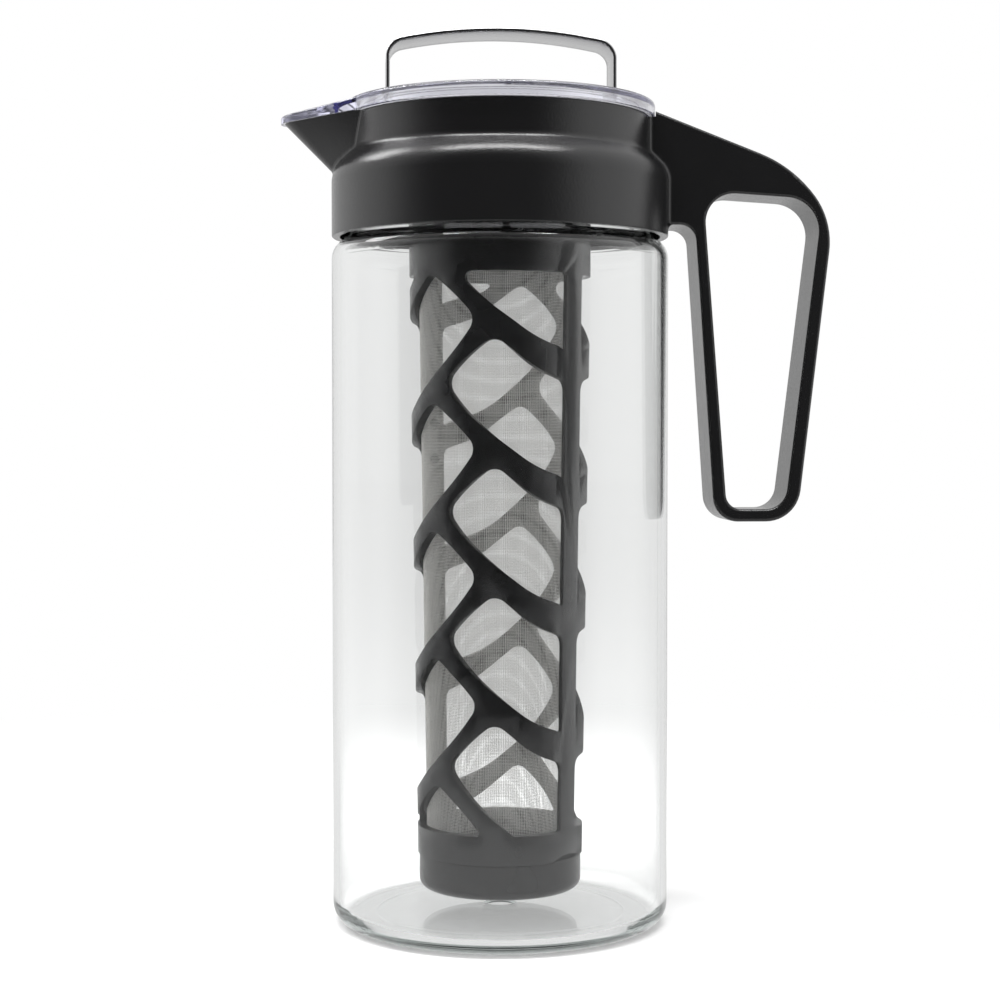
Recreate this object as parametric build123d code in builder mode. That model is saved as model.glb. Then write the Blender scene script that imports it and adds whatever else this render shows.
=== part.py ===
"""Cold brew coffee maker: glass carafe, clamped collar with spout and handle, mesh infuser and clear lid.

Units are millimetres. The origin is the centre of the base on the ground, +Z is up,
the handle lies along +X and the spout along -X.
"""

from build123d import *
from math import cos, radians, sin, tan
import os

os.makedirs("parts", exist_ok=True)

# ---------------------------------------------------------------- driving dimensions

# Glass carafe, blown to one wall thickness
glass_radius = 50.0
glass_wall = 2.0
glass_foot_fillet = 6.0
glass_punt_radius = 37.0
glass_punt_rise = 1.8
glass_floor = 3.2
tool_mark_radius = 5.0
tool_mark_rise = 0.7
shoulder_height = 200.2
shoulder_rise = 4.0
shoulder_step = 5.5
shoulder_fillet = 6.0
neck_length = 17.8
neck_fillet = 2.0
bead_width = 1.4
bead_height = 3.0
bead_root_fillet = 0.5
bead_fillet = 0.8

# Collar moulding that carries the spout and the handle
collar_lip_drop = 3.4
collar_lip_fillet = 0.5
collar_wall = 2.4
collar_step = 5.5
collar_step_drop = 0.8
collar_step_fillet = 2.5
collar_shoulder_fillet = 7.5
seat_width = 2.7
seat_thickness = 2.6
band_height = 12.4
band_wall = 2.3
snap_lug_count = 6
snap_lug_depth = 1.0
snap_lug_height = 2.0
snap_lug_lip = 0.6
snap_lug_arc = 16.0

# Spout
spout_reach = 65.7
spout_half_width = 19.0
spout_nose_radius = 6.0
spout_root = 37.0
spout_depth = 17.5
spout_foot_half_width = 12.9
spout_foot_nose_radius = 3.8
spout_wall = 2.4
spout_tip_drop = 2.0
spout_side_fillet = 1.5

# Handle: distances out from the glass, and heights above the collar's lip or below its rim
handle_width = 20.0
handle_bar = 3.7
handle_reach = 48.6
handle_foot = 119.3
handle_top_rise = 3.7
handle_root_height = 3.5
handle_upright_top = 7.2
handle_upright_foot = 13.2
handle_foot_inset = 10.6
handle_grip_top = 6.0
handle_shoulder_inset = 13.4
handle_shoulder_drop = 13.6
handle_fillets = (5.0, 7.5, 10.5, 23.0, 38.0)
handle_opening_start = 9.6
handle_opening_top = 13.4
handle_opening_shoulder = 11.2
handle_grip_wall = 3.2
handle_opening_fillets = (8.5, 4.6, 6.6, 10.0)
handle_edge_fillet = 1.0
handle_root_fillet = 1.5

# Seals and clamp ring at the neck
neck_gasket_thickness = 1.6
clamp_ring_height = 8.0
clamp_ring_gap = 3.0
clamp_ring_chamfer = 0.6

# Infuser
cage_top_radius = 27.5
cage_wall = 2.5
cage_draft = 0.0139
cage_top_band = 35.2
cage_foot_ring = 8.5
flange_thickness = 2.0
flange_gasket_thickness = 1.0
pour_slot_count = 8
pour_slot_width = 6.5
pour_slot_arc = 30.0
mouth_lip_rise = 1.2
mouth_lip_inset = 0.6
floor_gap = 5.0
spine_angle = 325.0
spine_flat_depth = 1.7
spine_flat_rise = 11.0
window_pitch = 37.1
window_rise = 37.1
window_cut_fillet = 2.4
same_level = 1e-6
# a window's corners as angle from its spine, drop below its apex and fillet: at the outer end, the
# apex, the upper rail's bend, both corners beside the spine and the lower rail's bend
first_window = (
    (97.5, 13.4, 5.5),
    (61.9, 0, 4.8),
    (35.6, 9.8, 30.0),
    (10.2, 13.2, 6.0),
    (10.2, 41.4, 1.6),
    (35.6, 38.0, 30.0),
)
second_window = (
    (107.0, 13.6, 5.5),
    (73.5, 0, 4.8),
    (41.0, 11.2, 30.0),
    (12.0, 14.6, 6.0),
    (12.0, 44.5, 1.6),
    (46.6, 40.0, 30.0),
)
mesh_thickness = 0.35
mesh_overlap = 4.0
mesh_ledge_thickness = 2.0

# Screw cap that closes the infuser
cap_height = 10.5
cap_inset = 0.45
cap_wall = 1.9
cap_floor = 2.0
cap_edge_fillet = 3.0
cap_lip_fillet = 0.4
cap_hollow = 0.6
cap_hollow_inset = 6.0
cap_hollow_slope = 1.2
cap_gasket_thickness = 1.7
spigot_wall = 2.4

# Lid
lid_overhang = 1.5
lid_height = 4.4
lid_wall = 1.8
lid_recess_radius = 36.5
lid_recess_depth = 4.8
lid_rim_fillet = 1.0
lid_rim_inner_fillet = 0.8
lid_recess_fillet = 1.0
lid_dish_fillet = 1.2
lid_edge_fillet = 0.4
lid_skirt_depth = 5.2
lid_groove_lip = 0.9
lid_groove_depth = 0.9
lid_groove_height = 2.0
lid_gasket_chamfer = 0.5
lid_mouth_ring_depth = 11.0
lid_spout_overhang = 1.1
lid_spout_thickness = 2.0
lid_spout_root_rise = 3.4
lid_spout_fillet = 0.6

# Lid handle, a bent metal strip, and its fasteners
strip_thickness = 1.15
strip_width = 16.0
strip_half_span = 34.0
strip_rise = 21.5
strip_crown = 3.9
strip_corner = 6.0
strip_foot_length = 10.5
strip_foot_bend = 2.5
strip_foot_fillet = 4.8
screw_radius = 2.0
screw_head_radius = 3.4
screw_head_height = 1.4
screw_head_fillet = 0.9
socket_radius = 1.5
socket_depth = 1.0
nut_radius = 3.4
nut_height = 2.4
washer_radius = 4.0
washer_thickness = 0.8

# Clearances
bore_clearance = 0.3
bead_clearance = 0.6
seal_clearance = 0.15
thread_clearance = 0.3
lid_clearance = 0.5
mouth_ring_clearance = 1.2
mesh_clearance = 0.15
groove_clearance = 0.1
screw_clearance = 0.2
washer_clearance = 0.1
nut_clearance = 0.05

# ---------------------------------------------------------------- heights and radii that follow

neck_radius = glass_radius - shoulder_step
neck_foot = shoulder_height + shoulder_rise
glass_top = neck_foot + neck_length
glass_floor_top = glass_punt_rise + glass_floor

collar_bottom = shoulder_height + collar_lip_drop
collar_bore = glass_radius - collar_wall
bead_radius = neck_radius + bead_width
seat_underside = glass_top + neck_gasket_thickness
seat_top = seat_underside + seat_thickness
collar_rim = seat_top + band_height
band_radius = glass_radius - collar_step
band_bore = band_radius - band_wall
seat_bore = band_bore - seat_width
bead_underside = glass_top - bead_height
step_corner = seat_underside - collar_step_drop

flange_underside = seat_top + flange_gasket_thickness
flange_top = flange_underside + flange_thickness
flange_radius = band_bore - bore_clearance
cap_bottom = glass_floor_top + floor_gap
cap_top = cap_bottom + cap_height
spigot_bottom = cap_bottom + cap_floor + cap_gasket_thickness


def cage_radius(height):
    """Outer radius of the drafted infuser tube at a height above the ground."""
    return cage_top_radius - (flange_top - height) * cage_draft


cap_radius = cage_radius(cap_top) - cap_inset
cap_bore = cap_radius - cap_wall
spigot_radius = cap_bore - thread_clearance
spigot_bore = spigot_radius - spigot_wall
mesh_ledge = cap_top + mesh_ledge_thickness
window_top = flange_underside - cage_top_band
window_bottom = cap_top + cage_foot_ring
mouth_top = flange_top + mouth_lip_rise

lid_radius = band_radius + lid_overhang
lid_top = collar_rim + lid_height
lid_recess_floor = lid_top - lid_recess_depth
lid_floor_underside = lid_recess_floor - lid_wall
skirt_radius = band_bore - lid_clearance
skirt_bottom = collar_rim - lid_skirt_depth
groove_bottom = skirt_bottom + lid_groove_lip
groove_top = groove_bottom + lid_groove_height
mouth_ring_radius = cage_radius(flange_top) - cage_wall - mouth_ring_clearance
screw_offset = strip_half_span - strip_foot_bend - screw_head_radius
washer_underside = lid_floor_underside - washer_thickness
screw_end = washer_underside - nut_height

# ---------------------------------------------------------------- glass carafe

with BuildPart() as glass_carafe:
    with BuildSketch(Plane.XZ):
        with BuildLine():
            # outside from the stand ring up to the beaded rim, then back down the inside
            wall_line = FilletPolyline(
                (glass_punt_radius, 0),
                (glass_radius, 0),
                (glass_radius, shoulder_height),
                (neck_radius, neck_foot),
                (neck_radius, bead_underside),
                (bead_radius, bead_underside),
                (bead_radius, glass_top),
                (neck_radius - glass_wall, glass_top),
                (neck_radius - glass_wall, neck_foot - glass_wall / 2),
                (glass_radius - glass_wall, shoulder_height - glass_wall / 2),
                (glass_radius - glass_wall, glass_floor),
                (glass_punt_radius, glass_floor),
                radius=[
                    glass_foot_fillet,
                    shoulder_fillet,
                    neck_fillet,
                    bead_root_fillet,
                    bead_fillet,
                    bead_fillet,
                    bead_fillet,
                    neck_fillet + glass_wall / 2,
                    shoulder_fillet - glass_wall,
                    glass_foot_fillet - glass_wall,
                ],
            )
            # raised centre of the base, the same dome outside and inside, with the tool mark in its middle
            dome_radius = (glass_punt_radius**2 + glass_punt_rise**2) / (2 * glass_punt_rise)
            mark_foot = glass_floor_top - dome_radius + (dome_radius**2 - tool_mark_radius**2) ** 0.5
            mark_top = mark_foot + tool_mark_rise
            mark_curve = (tool_mark_radius**2 + tool_mark_rise**2) / (2 * tool_mark_rise)
            RadiusArc(wall_line @ 1, (tool_mark_radius, mark_foot), -dome_radius)
            RadiusArc((tool_mark_radius, mark_foot), (0, mark_top), -mark_curve)
            Line((0, mark_top), (0, glass_punt_rise))
            RadiusArc((0, glass_punt_rise), wall_line @ 0, dome_radius)
        make_face()
    revolve(axis=Axis.Z)
glass_carafe.part.label = "glass_carafe"
export_step(glass_carafe.part, "parts/glass_carafe.step")

# ---------------------------------------------------------------- neck gasket and split clamp ring

with BuildPart() as neck_gasket:
    with BuildSketch(Plane.XY.offset(glass_top)):
        Circle(bead_radius)
        Circle(neck_radius - glass_wall, mode=Mode.SUBTRACT)
    extrude(amount=neck_gasket_thickness)
neck_gasket.part.label = "neck_gasket"
export_step(neck_gasket.part, "parts/neck_gasket.step")

with BuildPart() as clamp_ring:
    with BuildSketch(Plane.XY.offset(bead_underside - clamp_ring_height)):
        Circle(collar_bore - bore_clearance)
        Circle(neck_radius + bore_clearance, mode=Mode.SUBTRACT)
        with Locations((0, neck_radius)):
            Rectangle(clamp_ring_gap, 4 * collar_wall, mode=Mode.SUBTRACT)
    extrude(amount=clamp_ring_height)
    ring_edges = clamp_ring.edges().filter_by(GeomType.CIRCLE).sort_by(SortBy.RADIUS)
    # lead-in below, and relief above for the curve under the glass bead
    chamfer(ring_edges[:2] + ring_edges[2:].sort_by(Axis.Z)[:1], clamp_ring_chamfer)
clamp_ring.part.label = "clamp_ring"
export_step(clamp_ring.part, "parts/clamp_ring.step")

# ---------------------------------------------------------------- collar with spout and handle


def spout_form(inset, floor):
    """Spout body, lofted from its foot on the collar past its lip, drawn in by an inset."""
    growth = spout_over_height / spout_depth
    foot_level = collar_rim - spout_depth
    foot = (spout_reach - spout_depth, spout_foot_half_width, spout_foot_nose_radius)
    lip = (spout_reach, spout_half_width, spout_nose_radius)
    top = [at_lip + growth * (at_lip - at_foot) for at_lip, at_foot in zip(lip, foot)]
    with BuildPart() as form:
        for level, size in ((foot_level, foot), (collar_rim + spout_over_height, top)):
            reach, half_width, nose_radius = size
            with BuildSketch(Plane.XY.offset(level)):
                with Locations((nose_radius - reach, 0)):
                    Circle(nose_radius - inset)
                with Locations((-spout_root, 0)):
                    Rectangle(1, 2 * (half_width - inset))
                make_hull()
        loft(ruled=True)
        split(bisect_by=Plane.XY.offset(floor), keep=Keep.TOP)
    return form.part


def beside_collar(edge):
    """Whether both ends of an edge lie on the collar's own shell, not out on the spout or the handle."""
    ends = (edge @ 0, edge @ 1)
    return all(Vector(end.X, end.Y, 0).length < glass_radius + bore_clearance for end in ends)


# shell and spout stand over height until the fillet between them is made, and the lip is cut then
spout_over_height = collar_shoulder_fillet
spout_lip_fall = spout_tip_drop / (spout_reach - spout_tip_drop - band_radius)
spout_lip_plane = Plane(origin=(-band_radius, 0, collar_rim), z_dir=(-spout_lip_fall, 0, 1))
spout_body = spout_form(0, collar_rim - spout_depth)
spout_channel = spout_form(spout_wall, seat_top)

with BuildPart() as handle_blank:
    root = band_bore - 2 * handle_edge_fillet
    reach = glass_radius + handle_reach
    with BuildSketch(Plane.XZ):
        with BuildLine():
            # inner upright, foot, outer upright, shoulder and the top that falls away from the lid
            outline = FilletPolyline(
                (root, collar_bottom + handle_root_height),
                (glass_radius + handle_upright_top, collar_bottom + handle_root_height),
                (glass_radius + handle_upright_foot, handle_foot),
                (reach - handle_foot_inset, handle_foot),
                (reach, collar_bottom + handle_grip_top),
                (reach - handle_shoulder_inset, collar_rim - handle_shoulder_drop),
                (root, collar_rim + handle_top_rise),
                radius=handle_fillets,
            )
            Line(outline @ 1, outline @ 0)
        make_face()
        with BuildLine():
            FilletPolyline(
                (glass_radius + handle_opening_start, collar_bottom + handle_opening_top),
                (glass_radius + handle_upright_foot + handle_bar, handle_foot + handle_bar),
                (reach - handle_foot_inset - handle_bar, handle_foot + handle_bar),
                (reach - handle_grip_wall, collar_bottom + handle_opening_shoulder),
                radius=handle_opening_fillets,
                close=True,
            )
        make_face(mode=Mode.SUBTRACT)
    extrude(amount=handle_width / 2, both=True)
    fillet(handle_blank.faces().filter_by(Axis.Y).edges(), handle_edge_fillet)

with BuildPart() as collar:
    with BuildSketch(Plane.XZ):
        with BuildLine():
            shell = FilletPolyline(
                (0, collar_bottom),
                (glass_radius, collar_bottom),
                (glass_radius, step_corner),
                (band_radius, step_corner + collar_step),
                (band_radius, collar_rim + spout_over_height),
                (0, collar_rim + spout_over_height),
                radius=[collar_lip_fillet, collar_shoulder_fillet, collar_step_fillet, 0],
            )
            Line(shell @ 1, shell @ 0)
        make_face()
    revolve(axis=Axis.Z)
    add(spout_body)
    # where the spout grows out of the collar
    seam_bottom = collar_rim - spout_depth - collar_lip_fillet
    seam_top = collar_rim + spout_over_height
    spout_side = collar.edges().filter_by_position(Axis.X, -glass_radius, -spout_root)
    spout_side = spout_side.filter_by_position(Axis.Z, seam_bottom, seam_top, (False, False))
    fillet(spout_side.filter_by(beside_collar), spout_side_fillet)
    split(bisect_by=Plane.XY.offset(collar_rim), keep=Keep.BOTTOM)
    split(bisect_by=spout_lip_plane, keep=Keep.BOTTOM)
    add(handle_blank.part)
    # where the sides of the handle grow out of the collar
    handle_side = collar.edges().filter_by_position(Axis.X, root, glass_radius)
    handle_side = handle_side.filter_by_position(Axis.Z, collar_bottom, collar_rim, (False, False))
    handle_side = handle_side.filter_by(lambda edge: abs(edge.center().Y) > handle_width / 2 - 0.1)
    fillet(handle_side.filter_by(beside_collar), handle_root_fillet)
    # bore for the glass neck, shelf for the infuser, and the band that holds the lid
    with BuildSketch(Plane.XZ):
        with BuildLine():
            bore = Polyline(
                (0, collar_bottom - 1),
                (collar_bore, collar_bottom - 1),
                (collar_bore, bead_underside),
                (bead_radius + bead_clearance, bead_underside),
                (bead_radius + bead_clearance, seat_underside),
                (seat_bore, seat_underside),
                (seat_bore, seat_top),
                (band_bore, seat_top),
                (band_bore, collar_rim + 1),
                (0, collar_rim + 1),
            )
            Line(bore @ 1, bore @ 0)
        make_face()
    revolve(axis=Axis.Z, mode=Mode.SUBTRACT)
    # room for the lid's rim beside the raised root of the handle
    with BuildSketch(Plane.XY.offset(collar_rim)):
        Circle(lid_radius + bore_clearance)
    extrude(amount=2 * handle_top_rise, mode=Mode.SUBTRACT)
    add(spout_channel, mode=Mode.SUBTRACT)
    # snap lugs that hold the clamp ring up
    for lug in range(snap_lug_count):
        lug_start = (lug + 0.5) * 360 / snap_lug_count - snap_lug_arc / 2
        with BuildSketch(Plane.XZ.rotated((0, 0, lug_start))):
            with BuildLine():
                lug_top = bead_underside - clamp_ring_height
                Polyline(
                    (collar_bore + snap_lug_depth / 2, lug_top),
                    (collar_bore - snap_lug_depth, lug_top),
                    (collar_bore - snap_lug_depth, lug_top - snap_lug_lip),
                    (collar_bore + snap_lug_depth / 2, lug_top - snap_lug_height),
                    close=True,
                )
            make_face()
        revolve(axis=Axis.Z, revolution_arc=snap_lug_arc)
collar.part.label = "collar"
export_step(collar.part, "parts/collar.step")

# ---------------------------------------------------------------- infuser cage


def clipped(outline, level, side):
    """Part of a closed outline that lies below a level (side 1) or above it (side -1)."""
    kept = []
    for (x, y, radius), (next_x, next_y, _) in zip(outline, outline[1:] + outline[:1]):
        if side * (y - level) < same_level:
            kept.append((x, y, radius))
        if (y - level) * (next_y - level) < -same_level:
            kept.append((x + (next_x - x) * (level - y) / (next_y - y), level, window_cut_fillet))
    return kept


def window_opening(spine, hand, corners, apex):
    """Solid that cuts one lattice window, whose sides all run towards the axis of the cage.

    hand is 1 where the window lies on the side of its spine towards which angles grow, otherwise -1.
    """
    middle = (corners[0][0] + corners[3][0]) / 2
    turn = radians(spine + hand * middle)
    facing = Plane(origin=(0, 0, 0), x_dir=(-sin(turn), cos(turn), 0), z_dir=(cos(turn), sin(turn), 0))
    with BuildPart() as opening:
        for distance in (cage_top_radius, cage_top_radius / 2):
            outline = [
                (hand * distance * tan(radians(angle - middle)), apex - drop, radius)
                for angle, drop, radius in corners
            ]
            outline = clipped(clipped(outline, window_top, 1), window_bottom, -1)
            points = [Vector(x, y) for x, y, _ in outline]
            radii = []
            for i, (_, _, radius) in enumerate(outline):
                back = points[i - 1] - points[i]
                ahead = points[(i + 1) % len(points)] - points[i]
                # a fillet ends before the middle of the shorter edge beside it
                room = 0.46 * min(back.length, ahead.length) * tan(radians(back.get_angle(ahead) / 2))
                radii.append(min(radius * distance / cage_top_radius, room))
            with BuildSketch(facing.offset(distance)):
                with BuildLine():
                    FilletPolyline(*points, radius=radii, close=True)
                make_face()
        loft(ruled=True)
    return opening.part


openings = []
for spine, corners, first_apex in (
    (spine_angle, first_window, window_top + window_rise - window_pitch / 2),
    (spine_angle + 180, second_window, window_top + window_rise),
):
    for row in range(int((first_apex - window_bottom) / window_pitch) + 1):
        for hand in (1, -1):
            openings.append(window_opening(spine, hand, corners, first_apex - row * window_pitch))

with BuildPart() as infuser_cage:
    with BuildSketch(Plane.XZ):
        with BuildLine():
            # drafted tube with a spigot for the cap below and the pouring flange above
            Polyline(
                (spigot_bore, spigot_bottom),
                (spigot_radius, spigot_bottom),
                (spigot_radius, cap_top),
                (cage_radius(cap_top), cap_top),
                (cage_radius(flange_underside), flange_underside),
                (flange_radius, flange_underside),
                (flange_radius, flange_top),
                (cage_radius(flange_top), flange_top),
                (cage_radius(flange_top) - mouth_lip_inset, mouth_top),
                (cage_radius(flange_top) - cage_wall, mouth_top),
                (cage_radius(mesh_ledge) - cage_wall, mesh_ledge),
                (spigot_bore, mesh_ledge),
                close=True,
            )
        make_face()
    revolve(axis=Axis.Z)
    # flats down the two mould partings, as deep at every height, where the lattice ends
    flat_top = window_top + spine_flat_rise
    for parting in (spine_angle, spine_angle + 180):
        with BuildSketch(Plane.XZ.rotated((0, 0, parting))):
            with BuildLine():
                Polyline(
                    (cage_radius(cap_top) - spine_flat_depth, cap_top),
                    (cage_top_radius, cap_top),
                    (cage_top_radius, flat_top),
                    (cage_radius(flat_top) - spine_flat_depth, flat_top),
                    close=True,
                )
            make_face()
        extrude(amount=cage_top_radius, both=True, mode=Mode.SUBTRACT)
    add(openings, mode=Mode.SUBTRACT)
    with BuildSketch(Plane.XY.offset(flange_underside)):
        slot_radius = (cage_top_radius + seat_bore) / 2
        for slot in range(pour_slot_count):
            middle = (slot + 0.5) * 360 / pour_slot_count
            SlotArc(
                CenterArc((0, 0), slot_radius, middle - pour_slot_arc / 2, pour_slot_arc),
                pour_slot_width,
            )
    extrude(amount=flange_thickness, mode=Mode.SUBTRACT)
infuser_cage.part.label = "infuser_cage"
export_step(infuser_cage.part, "parts/infuser_cage.step")

# ---------------------------------------------------------------- infuser mesh and gasket

with BuildPart() as infuser_mesh:
    mesh_top = window_top + mesh_overlap
    with BuildSketch(Plane.XZ):
        with BuildLine():
            outer_low = cage_radius(mesh_ledge) - cage_wall - mesh_clearance
            outer_high = cage_radius(mesh_top) - cage_wall - mesh_clearance
            Polyline(
                (outer_low, mesh_ledge),
                (outer_high, mesh_top),
                (outer_high - mesh_thickness, mesh_top),
                (outer_low - mesh_thickness, mesh_ledge),
                close=True,
            )
        make_face()
    revolve(axis=Axis.Z)
infuser_mesh.part.label = "infuser_mesh"
export_step(infuser_mesh.part, "parts/infuser_mesh.step")

with BuildPart() as infuser_gasket:
    with BuildSketch(Plane.XY.offset(seat_top)):
        Circle(flange_radius)
        Circle(seat_bore + bore_clearance, mode=Mode.SUBTRACT)
    extrude(amount=flange_gasket_thickness)
infuser_gasket.part.label = "infuser_gasket"
export_step(infuser_gasket.part, "parts/infuser_gasket.step")

# ---------------------------------------------------------------- screw cap and its gasket

with BuildPart() as bottom_cap:
    with BuildSketch(Plane.XZ):
        with BuildLine():
            # shallow hollow under the floor, rounded edge, wall up to the seam
            cap_line = FilletPolyline(
                (0, cap_bottom + cap_hollow),
                (cap_radius - cap_hollow_inset, cap_bottom + cap_hollow),
                (cap_radius - cap_hollow_inset + cap_hollow_slope, cap_bottom),
                (cap_radius, cap_bottom),
                (cap_radius, cap_top),
                (cap_bore, cap_top),
                (cap_bore, cap_bottom + cap_floor),
                (0, cap_bottom + cap_floor),
                radius=[0, 0, cap_edge_fillet, cap_lip_fillet, 0, 0],
            )
            Line(cap_line @ 1, cap_line @ 0)
        make_face()
    revolve(axis=Axis.Z)
bottom_cap.part.label = "bottom_cap"
export_step(bottom_cap.part, "parts/bottom_cap.step")

with BuildPart() as cap_gasket:
    with BuildSketch(Plane.XY.offset(cap_bottom + cap_floor)):
        Circle(cap_bore - thread_clearance)
        Circle(spigot_bore, mode=Mode.SUBTRACT)
    extrude(amount=cap_gasket_thickness)
cap_gasket.part.label = "cap_gasket"
export_step(cap_gasket.part, "parts/cap_gasket.step")

# ---------------------------------------------------------------- lid

with BuildPart() as spout_cover:
    cover_reach = spout_reach - spout_tip_drop + lid_spout_overhang
    cover_fall = (lid_spout_root_rise - lid_spout_thickness + spout_tip_drop) / (cover_reach - band_radius)
    with BuildSketch(Plane.XY.offset(collar_rim - 2 * spout_tip_drop)):
        with Locations((spout_nose_radius - cover_reach + lid_spout_overhang, 0)):
            Circle(spout_nose_radius + lid_spout_overhang)
        with Locations((-spout_root, 0)):
            Rectangle(1, 2 * (spout_half_width + lid_spout_overhang))
        make_hull()
    extrude(amount=lid_height + 2 * spout_tip_drop)
    split(bisect_by=spout_lip_plane, keep=Keep.TOP)
    cover_top = Plane(
        origin=(-band_radius, 0, collar_rim + lid_spout_root_rise),
        z_dir=(-cover_fall, 0, 1),
    )
    split(bisect_by=cover_top, keep=Keep.BOTTOM)
    with BuildSketch(Plane.XY.offset(collar_rim - 2 * spout_tip_drop)):
        Circle(lid_radius - lid_wall / 2)
    extrude(amount=lid_height + 4 * spout_tip_drop, mode=Mode.SUBTRACT)
    upper_edges = spout_cover.faces().sort_by(Axis.Z)[-1].edges()
    fillet(upper_edges.sort_by(Axis.X)[:-1], lid_spout_fillet)

with BuildPart() as lid_cover:
    with BuildSketch(Plane.XZ):
        with BuildLine():
            # floor, ring for the infuser's mouth, recess wall, grooved skirt, rim and recess
            section_line = FilletPolyline(
                (0, lid_floor_underside),
                (mouth_ring_radius - lid_wall, lid_floor_underside),
                (mouth_ring_radius - lid_wall, lid_floor_underside - lid_mouth_ring_depth),
                (mouth_ring_radius, lid_floor_underside - lid_mouth_ring_depth),
                (mouth_ring_radius, lid_floor_underside),
                (lid_recess_radius + lid_wall, lid_floor_underside),
                (lid_recess_radius + lid_wall, lid_top - lid_wall),
                (skirt_radius - lid_wall, lid_top - lid_wall),
                (skirt_radius - lid_wall, skirt_bottom),
                (skirt_radius, skirt_bottom),
                (skirt_radius, groove_bottom),
                (skirt_radius - lid_groove_depth, groove_bottom),
                (skirt_radius - lid_groove_depth, groove_top),
                (skirt_radius, groove_top),
                (skirt_radius, lid_top - lid_wall),
                (lid_radius - lid_wall, lid_top - lid_wall),
                (lid_radius - lid_wall, collar_rim),
                (lid_radius, collar_rim),
                (lid_radius, lid_top),
                (lid_recess_radius, lid_top),
                (lid_recess_radius, lid_recess_floor),
                (0, lid_recess_floor),
                radius=[
                    0,
                    *[lid_edge_fillet] * 2,
                    0,
                    lid_dish_fillet,
                    *[0] * 2,
                    *[lid_edge_fillet] * 2,
                    *[0] * 6,
                    *[lid_edge_fillet] * 2,
                    lid_rim_fillet,
                    lid_rim_inner_fillet,
                    lid_recess_fillet,
                ],
            )
            Line(section_line @ 1, section_line @ 0)
        make_face()
    revolve(axis=Axis.Z)
    add(spout_cover.part)
    with BuildSketch(Plane.XY.offset(lid_floor_underside)):
        with Locations((screw_offset, 0), (-screw_offset, 0)):
            Circle(screw_radius + screw_clearance)
    extrude(amount=lid_wall, mode=Mode.SUBTRACT)
lid_cover.part.label = "lid_cover"
export_step(lid_cover.part, "parts/lid_cover.step")

with BuildPart() as lid_gasket:
    with BuildSketch(Plane.XY.offset(groove_bottom + groove_clearance)):
        Circle(band_bore - seal_clearance)
        Circle(skirt_radius - lid_groove_depth + groove_clearance, mode=Mode.SUBTRACT)
    extrude(amount=lid_groove_height - 2 * groove_clearance)
    chamfer(lid_gasket.edges().group_by(SortBy.LENGTH)[-1], lid_gasket_chamfer)
lid_gasket.part.label = "lid_gasket"
export_step(lid_gasket.part, "parts/lid_gasket.step")

# ---------------------------------------------------------------- lid handle and its fasteners

with BuildPart() as lid_handle:
    crown_ends = lid_top + strip_rise - strip_crown
    with BuildSketch(Plane.XZ) as strip_side:
        with BuildLine():
            crown = ThreePointArc(
                (-strip_half_span, crown_ends),
                (0, lid_top + strip_rise),
                (strip_half_span, crown_ends),
            )
            Polyline(
                crown @ 1,
                (strip_half_span, lid_recess_floor),
                (-strip_half_span, lid_recess_floor),
                crown @ 0,
            )
        make_face()
        fillet(vertices().group_by(Axis.Y)[-1], strip_corner)
        fillet(vertices().group_by(Axis.Y)[0], strip_foot_bend)
        offset(amount=-strip_thickness, mode=Mode.SUBTRACT)
        with Locations((0, lid_recess_floor)):
            Rectangle(2 * (strip_half_span - strip_foot_length), 3 * strip_thickness, mode=Mode.SUBTRACT)
    extrude(amount=strip_width / 2, both=True)
    foot_tips = lid_handle.faces().filter_by(Axis.X).group_by(Axis.Z)[0].edges().filter_by(Axis.Z)
    fillet(foot_tips, strip_foot_fillet)
    with BuildSketch(Plane.XY.offset(lid_recess_floor)):
        with Locations((screw_offset, 0), (-screw_offset, 0)):
            Circle(screw_radius + screw_clearance)
    extrude(amount=strip_thickness, mode=Mode.SUBTRACT)
lid_handle.part.label = "lid_handle"
export_step(lid_handle.part, "parts/lid_handle.step")

with BuildPart() as handle_screws:
    head_seat = lid_recess_floor + strip_thickness
    for screw_x in (screw_offset, -screw_offset):
        with BuildSketch(Plane.XY.offset(screw_end)):
            with Locations((screw_x, 0)):
                Circle(screw_radius)
        extrude(amount=head_seat - screw_end)
        with BuildSketch(Plane.XY.offset(head_seat)):
            with Locations((screw_x, 0)):
                Circle(screw_head_radius)
        extrude(amount=screw_head_height)
    fillet(handle_screws.edges().group_by(Axis.Z)[-1], screw_head_fillet)
    with BuildSketch(Plane.XY.offset(head_seat + screw_head_height)):
        with Locations((screw_offset, 0), (-screw_offset, 0)):
            RegularPolygon(socket_radius, 6)
    extrude(amount=-socket_depth, mode=Mode.SUBTRACT)
handle_screws.part.label = "handle_screws"
export_step(handle_screws.part, "parts/handle_screws.step")

with BuildPart() as handle_washers:
    with BuildSketch(Plane.XY.offset(washer_underside)):
        with Locations((screw_offset, 0), (-screw_offset, 0)):
            Circle(washer_radius)
            Circle(screw_radius + washer_clearance, mode=Mode.SUBTRACT)
    extrude(amount=washer_thickness)
handle_washers.part.label = "handle_washers"
export_step(handle_washers.part, "parts/handle_washers.step")

with BuildPart() as handle_nuts:
    with BuildSketch(Plane.XY.offset(screw_end)):
        with Locations((screw_offset, 0), (-screw_offset, 0)):
            RegularPolygon(nut_radius, 6)
            Circle(screw_radius + nut_clearance, mode=Mode.SUBTRACT)
    extrude(amount=nut_height)
handle_nuts.part.label = "handle_nuts"
export_step(handle_nuts.part, "parts/handle_nuts.step")
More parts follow.
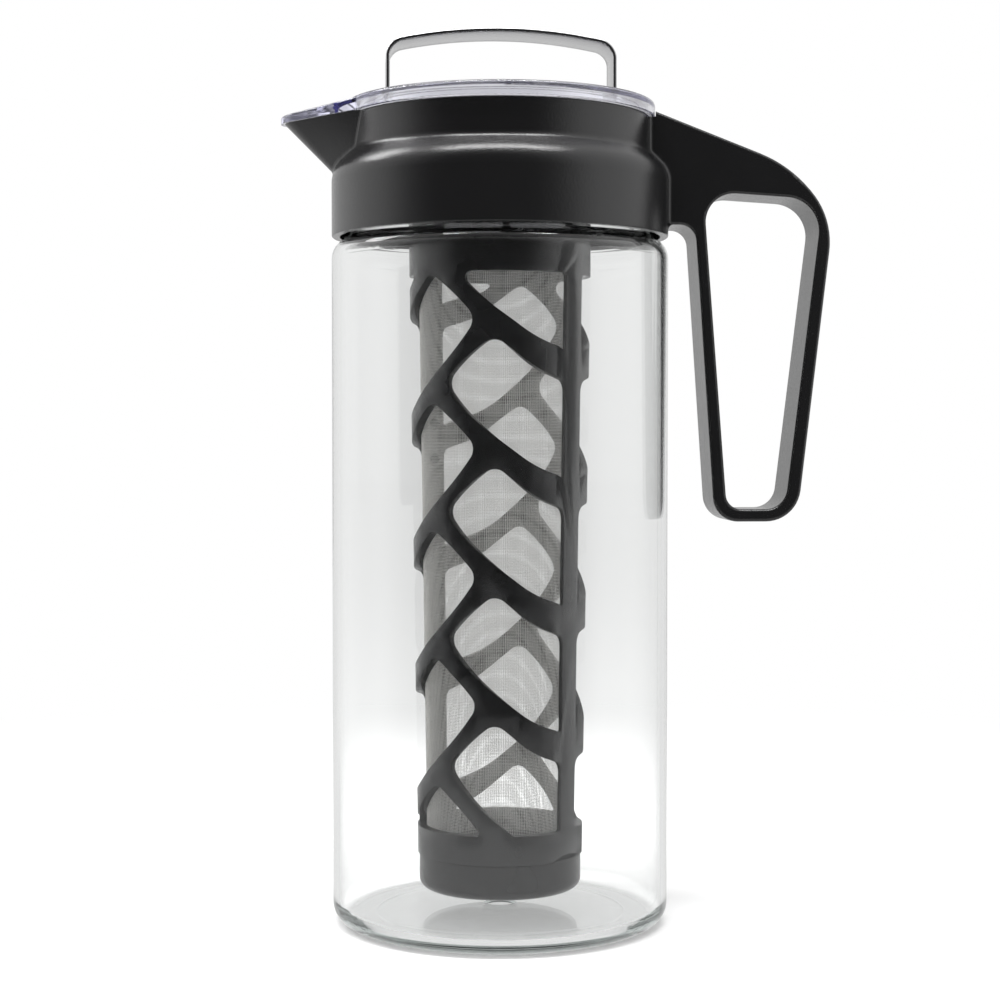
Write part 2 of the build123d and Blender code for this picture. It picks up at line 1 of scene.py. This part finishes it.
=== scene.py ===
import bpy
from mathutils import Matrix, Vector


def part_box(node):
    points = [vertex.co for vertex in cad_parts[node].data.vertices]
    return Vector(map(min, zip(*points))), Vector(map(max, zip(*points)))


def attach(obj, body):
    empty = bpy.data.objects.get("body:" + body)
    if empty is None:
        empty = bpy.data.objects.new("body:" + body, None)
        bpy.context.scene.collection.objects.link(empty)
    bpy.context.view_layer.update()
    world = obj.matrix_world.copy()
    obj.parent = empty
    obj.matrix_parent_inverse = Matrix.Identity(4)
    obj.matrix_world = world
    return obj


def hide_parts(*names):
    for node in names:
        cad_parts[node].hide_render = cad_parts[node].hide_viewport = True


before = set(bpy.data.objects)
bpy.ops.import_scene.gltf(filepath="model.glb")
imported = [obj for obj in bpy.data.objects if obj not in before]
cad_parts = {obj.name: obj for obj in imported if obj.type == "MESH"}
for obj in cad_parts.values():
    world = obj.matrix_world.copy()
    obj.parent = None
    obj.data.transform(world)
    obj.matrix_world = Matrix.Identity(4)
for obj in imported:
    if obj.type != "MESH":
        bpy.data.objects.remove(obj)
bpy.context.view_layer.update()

from math import atan2, cos, pi, sin, sqrt, tau

import bmesh
import bpy
from mathutils import Vector

# ---------------------------------------------------------------- glass carafe
# The body is blown borosilicate glass, two millimetres thick, with a slightly raised base.
# It is fire polished, so its faces carry only the faint ripple of drawn glass.


class Wire:
    """An output of a node. Arithmetic on it adds Math nodes to the same board."""

    def __init__(self, board, socket):
        self.board = board
        self.socket = socket

    def __add__(self, other):
        return self.board.math("ADD", self, other)

    def __sub__(self, other):
        return self.board.math("SUBTRACT", self, other)

    def __rsub__(self, other):
        return self.board.math("SUBTRACT", other, self)

    def __mul__(self, other):
        return self.board.math("MULTIPLY", self, other)

    def __truediv__(self, other):
        return self.board.math("DIVIDE", self, other)

    def __rtruediv__(self, other):
        return self.board.math("DIVIDE", other, self)

    def __gt__(self, other):
        return self.board.math("GREATER_THAN", self, other)

    __radd__ = __add__
    __rmul__ = __mul__


class Board:
    """A node tree that is filled one node at a time."""

    def math(self, operation, *terms):
        sockets = dict(zip(("Value", "Value_001"), terms))
        return self.add("ShaderNodeMath", {"operation": operation}, sockets)["Value"]

    def add(self, kind, settings, sockets):
        """Adds a node: its settings first, then the values or wires of its sockets by identifier."""
        node = self.tree.nodes.new(kind)
        for key, value in settings.items():
            setattr(node, key, value)
        by_name = {socket.identifier: socket for socket in node.inputs}
        for key, value in sockets.items():
            for wire in value if isinstance(value, list) else [value]:
                if isinstance(wire, Wire):
                    self.tree.links.new(wire.socket, by_name[key])
                else:
                    by_name[key].default_value = wire
        return {socket.identifier: Wire(self, socket) for socket in node.outputs}


class Finish(Board):
    """A material, or the world, made of shader nodes."""

    def __init__(self, name, owner=None):
        self.owner = owner or bpy.data.materials.new(name)
        self.owner.use_nodes = True
        self.tree = self.owner.node_tree
        self.tree.nodes.clear()

    def grain(self, scale, detail=2.0, stretch=(1, 1, 1)):
        """Noise on the piece's own coordinates, with features 1/scale metres across."""
        place = self.add("ShaderNodeTexCoord", {}, {})["Object"]
        turned = self.add("ShaderNodeMapping", {}, {"Vector": place, "Scale": stretch})["Vector"]
        noise = {"Vector": turned, "Scale": scale, "Detail": detail}
        return self.add("ShaderNodeTexNoise", {}, noise)["Fac"]

    def span(self, wire, low, high):
        """Maps a wire that runs from 0 to 1 onto low to high."""
        return wire * (high - low) + low

    def ease(self, wire, start, end, before, after):
        """One level up to start and another from end on, with a smooth step between them."""
        step = {"Value": wire, "From Min": start, "From Max": end, "To Min": before, "To Max": after}
        return self.add("ShaderNodeMapRange", {"interpolation_type": "SMOOTHSTEP"}, step)["Result"]

    def tint(self, wire, dark, light):
        """A colour between two, by a wire."""
        pair = {"Factor_Float": wire, "A_Color": (*dark, 1), "B_Color": (*light, 1)}
        return self.add("ShaderNodeMix", {"data_type": "RGBA"}, pair)["Result_Color"]

    def bump(self, height, strength, distance):
        """A relief that is distance metres high where a wire runs from 0 to 1."""
        relief = {"Height": height, "Strength": strength, "Distance": distance}
        return self.add("ShaderNodeBump", {}, relief)["Normal"]

    def depth(self, colour, density):
        """The tint inside a clear piece, which deepens with its thickness."""
        inside = {"Color": (*colour, 1), "Density": density}
        return self.add("ShaderNodeVolumeAbsorption", {}, inside)["Volume"]

    def surface(self, inside=None, **sockets):
        """Wires the Principled shader to the output. Underscores stand for spaces in its sockets."""
        named = {key.replace("_", " "): value for key, value in sockets.items()}
        ends = {"Surface": self.add("ShaderNodeBsdfPrincipled", {}, named)["BSDF"]}
        if inside:
            ends["Volume"] = inside
        self.add("ShaderNodeOutputMaterial", {}, ends)
        return self.owner


def dress(node, material):
    """Gives a carried-over piece its finish."""
    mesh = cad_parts[node].data
    mesh.materials.clear()
    mesh.materials.append(material)


blown = Finish("borosilicate")
ripple = blown.grain(22, 1.0, (1, 1, 0.35))
borosilicate = blown.surface(
    inside=blown.depth((0.55, 0.62, 0.60), 14.0),
    Base_Color=(0.995, 0.998, 0.996, 1),
    Roughness=blown.span(blown.grain(60), 0.0, 0.01),
    IOR=1.472,
    Transmission_Weight=1.0,
    Normal=blown.bump(ripple, 0.05, 0.001),
)
dress("glass_carafe", borosilicate)

# ---------------------------------------------------------------- neck seal and clamp ring
# A silicone ring seals the collar's shelf on the glass rim, and a split ring of the collar's
# plastic springs in under the glass bead and locks the collar on.

silicone = Finish("silicone")
silicone_rubber = silicone.surface(
    Base_Color=silicone.tint(silicone.grain(90), (0.66, 0.67, 0.66), (0.74, 0.75, 0.74)),
    Roughness=silicone.span(silicone.grain(400), 0.42, 0.55),
    Transmission_Weight=0.35,
    IOR=1.41,
    Normal=silicone.bump(silicone.grain(1500), 0.1, 0.0001),
)
dress("neck_gasket", silicone_rubber)

satin = Finish("satin_black")
pebble = satin.grain(2000, 3.0)
satin_black = satin.surface(
    Base_Color=satin.tint(satin.grain(35), (0.0085, 0.0085, 0.009), (0.0125, 0.0125, 0.013)),
    Roughness=satin.span(satin.grain(140), 0.16, 0.21),
    IOR=1.5,
    Normal=satin.bump(pebble, 0.6, 0.00012),
)
dress("clamp_ring", satin_black)

# ---------------------------------------------------------------- collar with spout and handle
# One black moulding with a fine spark-eroded grain: the band that holds the lid, the stepped
# shoulder, the spout and the loop handle.

dress("collar", satin_black)

# ---------------------------------------------------------------- infuser cage
# A lattice tube moulded in smooth black plastic, with the edges of its windows rounded. Its
# flange hangs on a silicone ring in the collar's mouth.

smooth = Finish("smooth_black")
flow = smooth.grain(45, 3.0, (1, 1, 0.2))
smooth_black = smooth.surface(
    Base_Color=smooth.tint(smooth.grain(30), (0.011, 0.011, 0.0115), (0.016, 0.016, 0.017)),
    Roughness=smooth.span(flow, 0.2, 0.3),
    IOR=1.5,
    Normal=smooth.bump(smooth.grain(55, 1.0), 0.12, 0.0006),
)


def put(name, data):
    """Adds an object with its mesh, lamp or lens to the scene."""
    thing = bpy.data.objects.new(name, data)
    bpy.context.scene.collection.objects.link(thing)
    return thing


window_edge_round = 0.0004
same_point = 0.000002
flat_angle = 0.002
sharp_angle = 0.6

# a merged copy of the cage, because a bevel can't round loose triangles
form = bmesh.new()
form.from_mesh(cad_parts["infuser_cage"].data)
bmesh.ops.remove_doubles(form, verts=form.verts, dist=same_point)
bmesh.ops.dissolve_limit(form, angle_limit=flat_angle, verts=form.verts, edges=form.edges)
lattice_mesh = bpy.data.meshes.new("rounded_lattice")
form.to_mesh(lattice_mesh)
form.free()
lattice_mesh.materials.append(smooth_black)
for polygon in lattice_mesh.polygons:
    polygon.use_smooth = True
lattice = put("rounded_lattice", lattice_mesh)
rounding = lattice.modifiers.new("rounding", "BEVEL")
rounding.limit_method = "ANGLE"
rounding.angle_limit = sharp_angle
rounding.width = window_edge_round
rounding.segments = 2
rounding.use_clamp_overlap = True
rounding.harden_normals = True
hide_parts("infuser_cage")
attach(lattice, "infuser")
dress("infuser_gasket", silicone_rubber)

# ---------------------------------------------------------------- filter net
# Fine pale nylon net in the cage's windows, woven in the round: upright threads on the inside,
# and hoops laid against them on the outside.


class Pattern(Board):
    """A Geometry Nodes tree with named sizes. It runs once and leaves a plain mesh."""

    def __init__(self, name, **sizes):
        self.tree = bpy.data.node_groups.new(name, "GeometryNodeTree")
        face = self.tree.interface
        face.new_socket("Mesh", in_out="OUTPUT", socket_type="NodeSocketGeometry")
        self.values = {}
        for size, value in sizes.items():
            kind = "NodeSocketInt" if isinstance(value, int) else "NodeSocketFloat"
            title = size.replace("_", " ").capitalize()
            socket = face.new_socket(title, in_out="INPUT", socket_type=kind)
            self.values[socket.identifier] = value
        given = self.add("NodeGroupInput", {}, {})
        self.size = dict(zip(sizes, (given[identifier] for identifier in self.values)))

    def step(self):
        """The number of each point: 0, 1, 2 and so on."""
        return self.add("GeometryNodeInputIndex", {}, {})["Index"]

    def vector(self, x, y, z):
        return self.add("ShaderNodeCombineXYZ", {}, {"X": x, "Y": y, "Z": z})["Vector"]

    def circle(self, radius, corners):
        ring = {"Resolution": corners, "Radius": radius}
        return self.add("GeometryNodeCurvePrimitiveCircle", {}, ring)["Curve"]

    def sweep(self, path, radius, sides):
        """A round bar of that radius along a path."""
        bar = {"Curve": path, "Profile Curve": self.circle(radius, sides), "Fill Caps": True}
        return self.add("GeometryNodeCurveToMesh", {}, bar)["Mesh"]

    def repeat(self, count, shape, position=(0, 0, 0), rotation=(0, 0, 0), scale=(1, 1, 1)):
        """A shape set that many times, with a place, turn and size worked out from its number."""
        numbered = {"Count": count, "Position": position}
        points = self.add("GeometryNodePoints", {}, numbered)["Geometry"]
        spread = {"Points": points, "Instance": shape, "Rotation": rotation, "Scale": scale}
        return self.add("GeometryNodeInstanceOnPoints", {}, spread)["Instances"]

    def realized(self, shape):
        return self.add("GeometryNodeRealizeInstances", {}, {"Geometry": shape})["Geometry"]

    def make(self, name, shapes, material):
        """Runs the tree and gives an object with its mesh."""
        joined = self.add("GeometryNodeJoinGeometry", {}, {"Geometry": shapes})["Geometry"]
        dressing = {"Geometry": self.realized(joined), "Material": material}
        dressed = self.add("GeometryNodeSetMaterial", {}, dressing)["Geometry"]
        self.add("NodeGroupOutput", {}, {"Socket_0": dressed})
        blank = put(name + "_blank", bpy.data.meshes.new(name + "_blank"))
        growth = blank.modifiers.new("pattern", "NODES")
        growth.node_group = self.tree
        for identifier, value in self.values.items():
            growth[identifier] = value
        grown = blank.evaluated_get(bpy.context.evaluated_depsgraph_get())
        plain_mesh = bpy.data.meshes.new_from_object(grown)
        bpy.data.objects.remove(blank)
        return put(name, plain_mesh)


nylon = Finish("filter_net")
thread_skin = nylon.add(
    "ShaderNodeBsdfPrincipled",
    {},
    {
        "Base Color": nylon.tint(nylon.grain(25), (0.90, 0.895, 0.88), (0.95, 0.945, 0.935)),
        "Roughness": nylon.span(nylon.grain(300), 0.35, 0.5),
        "IOR": 1.53,
        "Normal": nylon.bump(nylon.grain(4000), 0.1, 0.00002),
    },
)["BSDF"]
thread_core = nylon.add("ShaderNodeBsdfTranslucent", {}, {"Color": (0.97, 0.965, 0.95, 1)})["BSDF"]
skin_and_core = {"Fac": 0.5, "Shader": thread_skin, "Shader_001": thread_core}
thread = nylon.add("ShaderNodeMixShader", {}, skin_and_core)["Shader"]
nylon.add("ShaderNodeOutputMaterial", {}, {"Surface": thread})

net_low, net_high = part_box("infuser_mesh")
half_net_wall = 0.000175
thread_sides = 4
hoop_corners = 48
net = Pattern(
    "woven_net",
    threads_around=264,
    threads_up=400,
    thread_radius=0.00005,
    foot_height=net_low.z,
    height=net_high.z - net_low.z,
    top_radius=net_high.x - half_net_wall,
    draft=0.0139,
)
size = net.size
foot_radius = size["top_radius"] - size["height"] * size["draft"]
upright_ends = {
    "Start": net.vector(foot_radius - size["thread_radius"], 0.0, size["foot_height"]),
    "End": net.vector(
        size["top_radius"] - size["thread_radius"], 0.0, size["foot_height"] + size["height"]
    ),
}
upright = net.add("GeometryNodeCurvePrimitiveLine", {}, upright_ends)["Curve"]
uprights = net.repeat(
    size["threads_around"],
    net.sweep(upright, size["thread_radius"], thread_sides),
    rotation=net.vector(0.0, 0.0, net.step() * tau / size["threads_around"]),
)
climb = (net.step() + 0.5) / size["threads_up"]
hoop_radius = foot_radius + size["thread_radius"] + climb * size["height"] * size["draft"]
hoop_lines = net.repeat(
    size["threads_up"],
    net.circle(1.0, hoop_corners),
    position=net.vector(0.0, 0.0, size["foot_height"] + climb * size["height"]),
    scale=net.vector(hoop_radius, hoop_radius, 1.0),
)
hoops = net.sweep(net.realized(hoop_lines), size["thread_radius"], thread_sides)
woven = net.make("woven_net", [uprights, hoops], nylon.owner)
woven.data.shade_flat()
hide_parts("infuser_mesh")
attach(woven, "infuser")

# ---------------------------------------------------------------- screw cap
# The cap is moulded in the cage's plastic and closes its foot on a silicone seal. It screws
# onto the cage's spigot, whose thread is a low round ridge.

cap_low, cap_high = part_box("bottom_cap")
spigot_inset = 0.00222
thread_from_floor = 0.0049
thread_from_mouth = 0.0012
ridge_sides = 8
points_per_turn = 64
spigot = Pattern(
    "cap_thread",
    turns=2.25,
    ridge_radius=0.00027,
    spigot_radius=cap_high.x - spigot_inset,
    start=cap_low.z + thread_from_floor,
    rise=cap_high.z - cap_low.z - thread_from_floor - thread_from_mouth,
)
size = spigot.size
winding = {
    "Resolution": points_per_turn,
    "Rotations": size["turns"],
    "Start Radius": size["spigot_radius"],
    "End Radius": size["spigot_radius"],
    "Height": size["rise"],
}
helix = spigot.add("GeometryNodeCurveSpiral", {}, winding)["Curve"]
lift = {
    "Geometry": spigot.sweep(helix, size["ridge_radius"], ridge_sides),
    "Translation": spigot.vector(0.0, 0.0, size["start"]),
}
ridge = spigot.add("GeometryNodeTransform", {}, lift)["Geometry"]
cap_thread = spigot.make("cap_thread", [ridge], smooth_black)
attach(cap_thread, "infuser")
dress("bottom_cap", smooth_black)
dress("cap_gasket", silicone_rubber)

# ---------------------------------------------------------------- lid
# The lid is clear, faintly violet plastic: a dish with a rim, a skirt that carries a silicone
# seal, a ring that dips into the infuser's mouth, and a tongue over the spout.

violet = Finish("clear_violet")
clear_violet = violet.surface(
    inside=violet.depth((0.22, 0.20, 0.84), 7.0),
    Base_Color=(0.98, 0.98, 1.0, 1),
    Roughness=violet.span(violet.grain(80), 0.01, 0.04),
    IOR=1.56,
    Transmission_Weight=1.0,
    Normal=violet.bump(violet.grain(60, 1.0), 0.05, 0.0005),
)
dress("lid_cover", clear_violet)
dress("lid_gasket", silicone_rubber)

# ---------------------------------------------------------------- lid handle and fasteners
# A polished stainless strip with rounded edges is bent to a bow, and screwed through the dish
# with a silicone washer and a nut under each foot.

polished = Finish("polished_strip")
brushing = polished.grain(900, 2.0, (0.15, 1, 1))
chrome = polished.surface(
    Base_Color=polished.tint(polished.grain(40), (0.46, 0.46, 0.47), (0.52, 0.52, 0.525)),
    Metallic=1.0,
    Roughness=polished.span(brushing, 0.14, 0.24),
    Normal=polished.bump(brushing, 0.02, 0.0001),
)

strip_low, strip_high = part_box("lid_handle")
strip_width = strip_high.y - strip_low.y
thickness = 0.00115
edge_round = 0.00042
edge_steps = 4
crown_drop = 0.0039
corner_round = 0.0054
foot_bend = 0.0019
foot_length = 0.0105
tip_round = 0.0048
tip_blunt = 0.00002

half_span = strip_high.x - thickness / 2
foot_line = strip_low.z + thickness / 2
crown_top = strip_high.z - thickness / 2
crown_radius = (half_span**2 + crown_drop**2) / (2 * crown_drop)
crown_centre = Vector((0, crown_top - crown_radius))
bend_centre = Vector((half_span - foot_bend, foot_line + foot_bend))
# the corner's arc touches the upright and the crown's arc from inside
corner_x = half_span - corner_round
corner_rise = sqrt((crown_radius - corner_round) ** 2 - corner_x**2)
corner_centre = Vector((corner_x, crown_centre.y + corner_rise))
lean = atan2(corner_rise, corner_x)


def arc(centre, radius, start, end, steps):
    """The points of an arc after its first one, in the strip's side view."""
    angles = [start + (end - start) * number / steps for number in range(1, steps + 1)]
    return [centre + radius * Vector((cos(angle), sin(angle))) for angle in angles]


tip = Vector((half_span - foot_length, foot_line))
# closer together where the foot's rounded tip widens fastest
foot_runs = (0, 0.0002, 0.0007, 0.0015, 0.0026, 0.0038, tip_round, foot_length - foot_bend)
half_path = [tip + Vector((run, 0)) for run in foot_runs]
half_path += arc(bend_centre, foot_bend, -pi / 2, 0, 8)
half_path += arc(corner_centre, corner_round, 0, lean, 14)
half_path += arc(crown_centre, crown_radius, lean, pi / 2, 24)
bow = half_path + [Vector((-point.x, point.y)) for point in reversed(half_path[:-1])]

# a rounded section stands across the bow at each of its points, narrower towards the foot tips
form = bmesh.new()
rings = []
for number, point in enumerate(bow):
    before = bow[max(number - 1, 0)]
    after = bow[min(number + 1, len(bow) - 1)]
    along = (after - before).normalized()
    across = Vector((-along.y, along.x))
    from_tip = min((point - bow[0]).length, (point - bow[-1]).length)
    half_width = strip_width / 2
    if from_tip < tip_round:
        half_width -= tip_round - sqrt(tip_round**2 - (tip_round - from_tip - tip_blunt) ** 2)
    ring = []
    for quarter in range(4):
        side_y = half_width - edge_round if quarter in (0, 3) else edge_round - half_width
        side_n = thickness / 2 - edge_round if quarter in (0, 1) else edge_round - thickness / 2
        for turn in range(edge_steps + 1):
            angle = (quarter + turn / edge_steps) * pi / 2
            offset = across * (side_n + edge_round * sin(angle))
            y = side_y + edge_round * cos(angle)
            ring.append(form.verts.new((point.x + offset.x, y, point.y + offset.y)))
    rings.append(ring)
for first, second in zip(rings, rings[1:]):
    for side in range(len(first)):
        following = (side + 1) % len(first)
        form.faces.new((first[side], first[following], second[following], second[side]))
form.faces.new(rings[0])
form.faces.new(reversed(rings[-1]))
bmesh.ops.recalc_face_normals(form, faces=form.faces)
strip_mesh = bpy.data.meshes.new("bowed_strip")
form.to_mesh(strip_mesh)
form.free()
for polygon in strip_mesh.polygons:
    polygon.use_smooth = len(polygon.vertices) == 4
strip_mesh.materials.append(chrome)
strip = put("bowed_strip", strip_mesh)
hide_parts("lid_handle")
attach(strip, "lid")

turned = Finish("stainless")
turning = turned.grain(1400, 2.0)
stainless = turned.surface(
    Base_Color=turned.tint(turned.grain(200), (0.55, 0.55, 0.55), (0.62, 0.62, 0.61)),
    Metallic=1.0,
    Roughness=turned.span(turning, 0.18, 0.3),
    Normal=turned.bump(turning, 0.05, 0.00005),
)
dress("handle_screws", stainless)
dress("handle_nuts", stainless)
dress("handle_washers", silicone_rubber)

# ---------------------------------------------------------------- table, lamps and camera
# A white table in a white room whose front is open and dark. A wide lamp hangs over the front
# of the table, and a smaller one stands behind it on the left.

scene = bpy.context.scene
scene.view_settings.view_transform = "Standard"
scene.cycles.max_bounces = 32
scene.cycles.transmission_bounces = 28
scene.cycles.transparent_max_bounces = 24
scene.cycles.glossy_bounces = 28
scene.cycles.diffuse_bounces = 12
scene.cycles.sample_clamp_indirect = 4.0

table_half = 6
# just clear of the glass foot, so that the two faces don't share a plane
table_gap = 0.0002
table_mesh = bpy.data.meshes.new("table")
form = bmesh.new()
bmesh.ops.create_grid(form, x_segments=1, y_segments=1, size=table_half)
bmesh.ops.translate(form, vec=(0, 0, -table_gap), verts=form.verts)
form.to_mesh(table_mesh)
form.free()
put("table", table_mesh)

open_side = (-0.24, -0.97, 0)


def room(finish, direction):
    """How the white room shows in a direction, by the kind of ray.

    Gives 1 for what is seen directly, 1 for what is seen directly or through clear pieces, and the
    level for everything else: full for scattered light, and darker at the open side in reflections.
    """
    ray = finish.add("ShaderNodeLightPath", {}, {})
    mirrored = ray["Glossy Depth"] > 0.5
    scattered = ray["Diffuse Depth"] > 0.5
    through = ray["Is Transmission Ray"] * (1 - mirrored) * (1 - scattered)
    seen = finish.math("MAXIMUM", ray["Is Camera Ray"], through)
    turn = {"Vector": direction, "Vector_001": open_side}
    ahead = finish.add("ShaderNodeVectorMath", {"operation": "DOT_PRODUCT"}, turn)["Value"]
    front = finish.ease(ahead, start=0.15, end=0.82, before=1.2, after=0.03)
    back = finish.ease(ahead, start=-0.85, end=-0.25, before=0.64, after=1.0)
    return ray["Is Camera Ray"], seen, scattered + (1 - scattered) * (front * back)


paper = Finish("white_paper")
spot = paper.add("ShaderNodeTexCoord", {}, {})["Object"]
reach = paper.add("ShaderNodeVectorMath", {"operation": "LENGTH"}, {"Vector": spot})["Value"]
heading = paper.add("ShaderNodeVectorMath", {"operation": "NORMALIZE"}, {"Vector": spot})["Vector"]
direct, seen, other_level = room(paper, heading)

# round the carafe the table is matte and takes its shadow, with a little light of its own to
# fill it, and more of that light, a painted pool of light, where the glass base is looked through
matte = paper.add("ShaderNodeBsdfDiffuse", {}, {"Color": (0.86, 0.86, 0.86, 1)})["BSDF"]
# painted light: under the glass base the table glows brighter for rays that come through the glass,
# lifting the shade the glass casts
painted_light_under_base = paper.ease(reach, start=0.05, end=0.075, before=0.42, after=0.05)
fill_level = direct * 0.12 + (seen - direct) * painted_light_under_base
fill = {"Color": (1, 1, 1, 1), "Strength": fill_level}
glow = paper.add("ShaderNodeEmission", {}, fill)["Emission"]
near = paper.add("ShaderNodeAddShader", {}, {"Shader": matte, "Shader_001": glow})["Shader"]

# further out it is an even white, slightly greyer through the glass; through the glass a painted
# pool of light brightens it towards the carafe, and in reflections a painted lit patch round the
# carafe fades into the room
far_level = 0.765
# painted light: seen through the glass, the table grows brighter towards the carafe
painted_pool_near_carafe = 0.16
fade_reach = 0.75
past_glass = far_level + painted_pool_near_carafe / (1 + paper.math("POWER", reach / fade_reach, 3.0))
# painted light: in reflections the table round the carafe glows at 0.8, fading into the room further
# out
painted_lit_patch = paper.ease(reach, start=0.2, end=0.55, before=1.0, after=0.0)
reflected = painted_lit_patch * 0.8 + (1 - painted_lit_patch) * other_level
level = direct + (seen - direct) * past_glass + (1 - seen) * reflected
white = {"Color": (1, 1, 1, 1), "Strength": level}
far = paper.add("ShaderNodeEmission", {}, white)["Emission"]

matte_share = paper.ease(reach, start=0.15, end=0.5, before=1.0, after=0.0) * seen
both = {"Fac": matte_share, "Shader": far, "Shader_001": near}
table_top = paper.add("ShaderNodeMixShader", {}, both)["Shader"]
paper.add("ShaderNodeOutputMaterial", {}, {"Surface": table_top})
table_mesh.materials.append(paper.owner)

scene.world = bpy.data.worlds.new("surround")
surround = Finish("surround", scene.world)
outward = surround.add("ShaderNodeTexCoord", {}, {})["Generated"]
direct, seen, other_level = room(surround, outward)
wall_past_glass = 0.78
level = direct + (seen - direct) * wall_past_glass + (1 - seen) * other_level
white = {"Color": (1, 1, 1, 1), "Strength": level}
sky = surround.add("ShaderNodeBackground", {}, white)["Background"]
surround.add("ShaderNodeOutputWorld", {}, {"Surface": sky})


def aim(thing, place, target):
    """Sets a lamp or the camera at a place, looking at the target."""
    thing.location = place
    thing.rotation_euler = (Vector(target) - Vector(place)).to_track_quat("-Z", "Y").to_euler()


def soft_lamp(name, place, width, depth, watts):
    """A wide lamp that doesn't shine through clear pieces, where it would only leave specks."""
    lamp = bpy.data.lights.new(name, "AREA")
    lamp.shape = "RECTANGLE"
    lamp.size = width
    lamp.size_y = depth
    lamp.energy = watts
    stand = put(name, lamp)
    stand.visible_transmission = False
    aim(stand, place, target=(0, 0, 0.2))


soft_lamp("top_lamp", (-0.02, -0.22, 1.25), width=1.0, depth=0.22, watts=11.0)
soft_lamp("left_lamp", (-0.80, 0.34, 1.00), width=0.36, depth=0.5, watts=4.5)

lens = bpy.data.cameras.new("camera")
lens.lens = 73.8
lens.sensor_width = 36
camera = put("camera", lens)
aim(camera, (-0.0428, -0.6115, 0.1444), target=(0, 0, 0.1256))
scene.camera = camera
